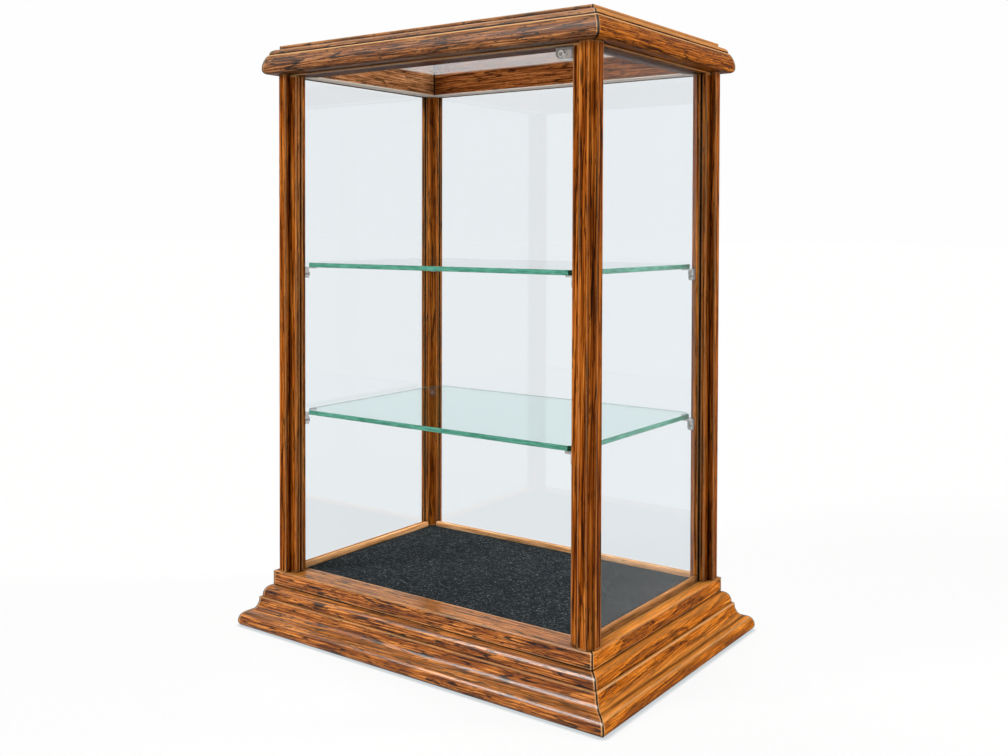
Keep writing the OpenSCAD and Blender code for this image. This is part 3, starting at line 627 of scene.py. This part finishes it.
def woolFelt(look):
    material, tree = newMaterial("Charcoal wool felt")
    place = addNode(tree, "ShaderNodeTexCoord").outputs["Object"]
    scaled = addNode(tree, "ShaderNodeVectorMath", {"operation": "MULTIPLY"}, {
        0: place, 1: (1000, 1000, 1000)}).outputs[0]  # now in mm
    mottle = addNode(tree, "ShaderNodeTexNoise", None, {
        "Vector": scaled, "Scale": look["mottle"], "Detail": 5.0, "Roughness": 0.7}).outputs["Fac"]
    greys = zip(look["tones"], (look["base"], look["light"]))
    cloth = addNode(tree, "ShaderNodeValToRGB", {"stops": list(greys)}, {"Fac": mottle}).outputs["Color"]

    # curled fibres lie along the level lines of two noises
    for size, shift in look["curls"]:
        moved = addNode(tree, "ShaderNodeVectorMath", {"operation": "ADD"}, {
            0: scaled, 1: (shift, shift, 0)}).outputs[0]
        curl = addNode(tree, "ShaderNodeTexNoise", None, {
            "Vector": moved, "Scale": 1 / size, "Detail": 0.5}).outputs["Fac"]
        level = addNode(tree, "ShaderNodeMath", {"operation": "MULTIPLY"}, {
            0: curl, 1: look["levels"]}).outputs[0]
        level = addNode(tree, "ShaderNodeMath", {"operation": "PINGPONG"}, {0: level, 1: 0.5}).outputs[0]
        line = addNode(tree, "ShaderNodeMapRange", None, {
            "Value": level, "From Min": look["fibreEdge"][0], "From Max": look["fibreEdge"][1],
            "To Min": look["fibreDepth"], "To Max": 0.0}).outputs[0]
        shown = addNode(tree, "ShaderNodeTexNoise", None, {
            "Vector": moved, "Scale": look["gaps"], "Detail": 3.0}).outputs["Fac"]
        shown = addNode(tree, "ShaderNodeMapRange", None, {
            "Value": shown, "From Min": look["gapEdge"][0], "From Max": look["gapEdge"][1]}).outputs[0]
        line = addNode(tree, "ShaderNodeMath", {"operation": "MULTIPLY"}, {0: line, 1: shown}).outputs[0]
        cloth = addNode(tree, "ShaderNodeMix", {"data_type": "RGBA"}, {
            "Factor": line, 6: cloth, 7: linear(look["fibre"])}).outputs[2]
    specks = addNode(tree, "ShaderNodeTexVoronoi", None, {
        "Vector": scaled, "Scale": look["lintSpots"]}).outputs["Distance"]
    specks = addNode(tree, "ShaderNodeMapRange", None, {
        "Value": specks, "From Min": look["lintEdge"][0], "From Max": look["lintEdge"][1],
        "To Min": look["lintDepth"], "To Max": 0.0}).outputs[0]
    cloth = addNode(tree, "ShaderNodeMix", {"data_type": "RGBA"}, {
        "Factor": specks, 6: cloth, 7: linear(look["lint"])}).outputs[2]

    # the cut edge sinks into the shade of the gap round it
    low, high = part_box("felt_floor")
    middle = (low + high) / 2
    reach = (high - low) / 2
    apart = addNode(tree, "ShaderNodeVectorMath", {"operation": "SUBTRACT"}, {0: place, 1: middle}).outputs[0]
    apart = addNode(tree, "ShaderNodeVectorMath", {"operation": "ABSOLUTE"}, {0: apart}).outputs[0]
    apart = addNode(tree, "ShaderNodeVectorMath", {"operation": "SUBTRACT"}, {0: apart, 1: reach}).outputs[0]
    apart = addNode(tree, "ShaderNodeSeparateXYZ", None, {0: apart})
    apart = addNode(tree, "ShaderNodeMath", {"operation": "MAXIMUM"}, {
        0: apart.outputs["X"], 1: apart.outputs["Y"]}).outputs[0]
    rim = addNode(tree, "ShaderNodeMapRange", None, {
        "Value": apart, "From Min": -look["rim"], "From Max": -look["rim"] / 2,
        "To Max": look["rimDepth"]}).outputs[0]
    cloth = addNode(tree, "ShaderNodeMix", {"data_type": "RGBA"}, {
        "Factor": rim, 6: cloth, 7: linear(look["rimShade"])}).outputs[2]

    nap = addNode(tree, "ShaderNodeTexNoise", None, {
        "Vector": scaled, "Scale": look["nap"], "Detail": 3.0}).outputs["Fac"]
    fur = addNode(tree, "ShaderNodeBump", None, {
        "Strength": look["napBump"], "Distance": look["napHeight"], "Height": nap}).outputs[0]
    surface = addNode(tree, "ShaderNodeBsdfPrincipled", None, {
        "Base Color": cloth, "Roughness": look["roughness"], "Specular IOR Level": look["shine"],
        "Normal": fur, "Sheen Weight": look["sheen"], "Sheen Roughness": look["sheenRoughness"],
        "Sheen Tint": linear(look["sheenTint"])})
    addNode(tree, "ShaderNodeOutputMaterial", None, {"Surface": surface.outputs[0]})
    return material


def feltSheet(look):
    # one cut piece, its top slightly uneven where the nap stands
    low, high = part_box("felt_floor")
    across = int((high.x - low.x) / look["step"])
    deep = int((high.y - low.y) / look["step"])
    mesh = bmesh.new()
    rows = []
    for level in (0, 1):
        for j in range(deep + 1):
            row = []
            for i in range(across + 1):
                x = low.x + (high.x - low.x) * i / across
                y = low.y + (high.y - low.y) * j / deep
                z = low.z
                if level:
                    spot = Vector((x * look["waves"], y * look["waves"], look["waveLayer"]))
                    z = high.z - look["wave"] * (1 + noise.noise(spot))
                row.append(mesh.verts.new((x, y, z)))
            rows.append(row)
    under, over = rows[:deep + 1], rows[deep + 1:]
    for j in range(deep):
        for i in range(across):
            mesh.faces.new((over[j][i], over[j][i + 1], over[j + 1][i + 1], over[j + 1][i]))
            mesh.faces.new((under[j + 1][i], under[j + 1][i + 1], under[j][i + 1], under[j][i]))
    for i in range(across):
        mesh.faces.new((under[0][i], under[0][i + 1], over[0][i + 1], over[0][i]))
        mesh.faces.new((under[deep][i + 1], under[deep][i], over[deep][i], over[deep][i + 1]))
    for j in range(deep):
        mesh.faces.new((under[j + 1][0], under[j][0], over[j][0], over[j + 1][0]))
        mesh.faces.new((under[j][across], under[j + 1][across], over[j + 1][across], over[j][across]))
    shape = bpy.data.meshes.new("feltSheet")
    mesh.to_mesh(shape)
    mesh.free()
    shape.polygons.foreach_set("use_smooth", [True] * len(shape.polygons))
    shape.materials.append(woolFelt(look))
    felt = bpy.data.objects.new("feltSheet", shape)
    bpy.context.scene.collection.objects.link(felt)
    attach(felt, "cabinet")
    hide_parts("felt_floor")
    return felt


feltSheet(feltLook)
print("felt laid")


def seenDirectly(tree):
    # 1 for rays that come from the camera, through glass or off gloss
    ray = addNode(tree, "ShaderNodeLightPath")
    seen = addNode(tree, "ShaderNodeMath", {"operation": "MAXIMUM"}, {
        0: ray.outputs["Is Camera Ray"], 1: ray.outputs["Is Transmission Ray"]}).outputs[0]
    return addNode(tree, "ShaderNodeMath", {"operation": "MAXIMUM"}, {
        0: seen, 1: ray.outputs["Is Glossy Ray"]}).outputs[0]


# Plain white floor, with a narrow shade under the plinth's foot
floorLook = {"size": 60.0, "colour": "#F4F4F4",  # m
             "glow": "#FEFEFE", "bare": 0.92,    # white that the floor shows, and its share over the paper
             "contact": "#CDD3D6", "contactReach": 0.005, "contactEdge": (0.5, 1.0)}  # m


def studioFloor(look):
    shape = bpy.data.meshes.new("studioFloor")
    half = look["size"] / 2
    corners = [(-half, -half, 0), (half, -half, 0), (half, half, 0), (-half, half, 0)]
    shape.from_pydata(corners, [], [(0, 1, 2, 3)])
    floor = bpy.data.objects.new("studioFloor", shape)
    bpy.context.scene.collection.objects.link(floor)
    material, tree = newMaterial("White paper floor")
    paper = addNode(tree, "ShaderNodeBsdfDiffuse", None, {"Color": linear(look["colour"])})
    openness = addNode(tree, "ShaderNodeAmbientOcclusion", {"samples": 8}, {
        "Distance": look["contactReach"]}).outputs["AO"]
    near = addNode(tree, "ShaderNodeMapRange", None, {
        "Value": openness, "From Min": look["contactEdge"][0], "From Max": look["contactEdge"][1],
        "To Min": 1.0, "To Max": 0.0}).outputs[0]
    shaded = addNode(tree, "ShaderNodeMix", {"data_type": "RGBA"}, {
        "Factor": near, 6: linear(look["glow"]), 7: linear(look["contact"])}).outputs[2]
    bright = addNode(tree, "ShaderNodeEmission", None, {"Color": shaded, "Strength": 1.0})
    share = addNode(tree, "ShaderNodeMath", {"operation": "MULTIPLY"}, {
        0: seenDirectly(tree), 1: look["bare"]}).outputs[0]
    mixed = addNode(tree, "ShaderNodeMixShader", None, {0: share, 1: paper.outputs[0], 2: bright.outputs[0]})
    addNode(tree, "ShaderNodeOutputMaterial", None, {"Surface": mixed.outputs[0]})
    shape.materials.append(material)
    return floor


studioFloor(floorLook)

# Studio: white surroundings, and soft lamps at the front left, high at the back left and at the back right
studioLook = {"backdrop": "#FEFEFE", "glow": "#F2F5F8", "glowStrength": 0.2}
lamps = [  # direction towards the lamp, and its breadth in degrees
    {"name": "left softbox", "to": (-0.45, -0.68, 0.58), "strength": 2.5, "spread": 20, "colour": "#FFFEFC"},
    {"name": "top softbox", "to": (-0.50, 0.30, 0.81), "strength": 0.8, "spread": 30, "colour": "#FFFEFC"},
    {"name": "right softbox", "to": (0.60, 0.62, 0.50), "strength": 2.2, "spread": 12, "colour": "#FFFAF2"},
]
world = bpy.data.worlds.new("Studio")
bpy.context.scene.world = world
world.use_nodes = True
sky = world.node_tree
sky.nodes.clear()
backdrop = addNode(sky, "ShaderNodeBackground", None, {
    "Color": linear(studioLook["backdrop"]), "Strength": 1.0})
glow = addNode(sky, "ShaderNodeBackground", None, {
    "Color": linear(studioLook["glow"]), "Strength": studioLook["glowStrength"]})
surroundings = addNode(sky, "ShaderNodeMixShader", None, {
    0: seenDirectly(sky), 1: glow.outputs[0], 2: backdrop.outputs[0]})
addNode(sky, "ShaderNodeOutputWorld", None, {"Surface": surroundings.outputs[0]})
for lamp in lamps:
    light = bpy.data.lights.new(lamp["name"], "SUN")
    light.energy = lamp["strength"]
    light.angle = math.radians(lamp["spread"])
    light.color = linear(lamp["colour"])[:3]
    holder = bpy.data.objects.new(lamp["name"], light)
    holder.rotation_euler = Vector(lamp["to"]).to_track_quat("Z", "Y").to_euler()
    bpy.context.scene.collection.objects.link(holder)

# Camera at the photograph's place: in front and to the right, a little above the middle
view = {"place": (0.6910, -0.9667, 0.4297),           # m
        "down": 1.17, "turn": 36.21, "roll": 0.14,    # degrees
        "lens": 39.68, "sensor": 36,                  # mm
        "shiftX": 0.0201, "shiftY": -0.1261,          # shares of the picture's width
        "nearest": 0.05, "farthest": 100}             # m
cameraData = bpy.data.cameras.new("Photograph view")
cameraData.lens = view["lens"]
cameraData.sensor_width = view["sensor"]
cameraData.shift_x = view["shiftX"]
cameraData.shift_y = view["shiftY"]
cameraData.clip_start = view["nearest"]
cameraData.clip_end = view["farthest"]
camera = bpy.data.objects.new("Photograph view", cameraData)
bpy.context.scene.collection.objects.link(camera)
camera.matrix_world = (
    Matrix.Translation(view["place"])
    @ Matrix.Rotation(math.radians(view["turn"]), 4, "Z")
    @ Matrix.Rotation(math.radians(90 - view["down"]), 4, "X")
    @ Matrix.Rotation(math.radians(view["roll"]), 4, "Z"))
bpy.context.scene.camera = camera
bpy.context.scene.view_settings.view_transform = "Standard"
print("studio, lamps and camera set")
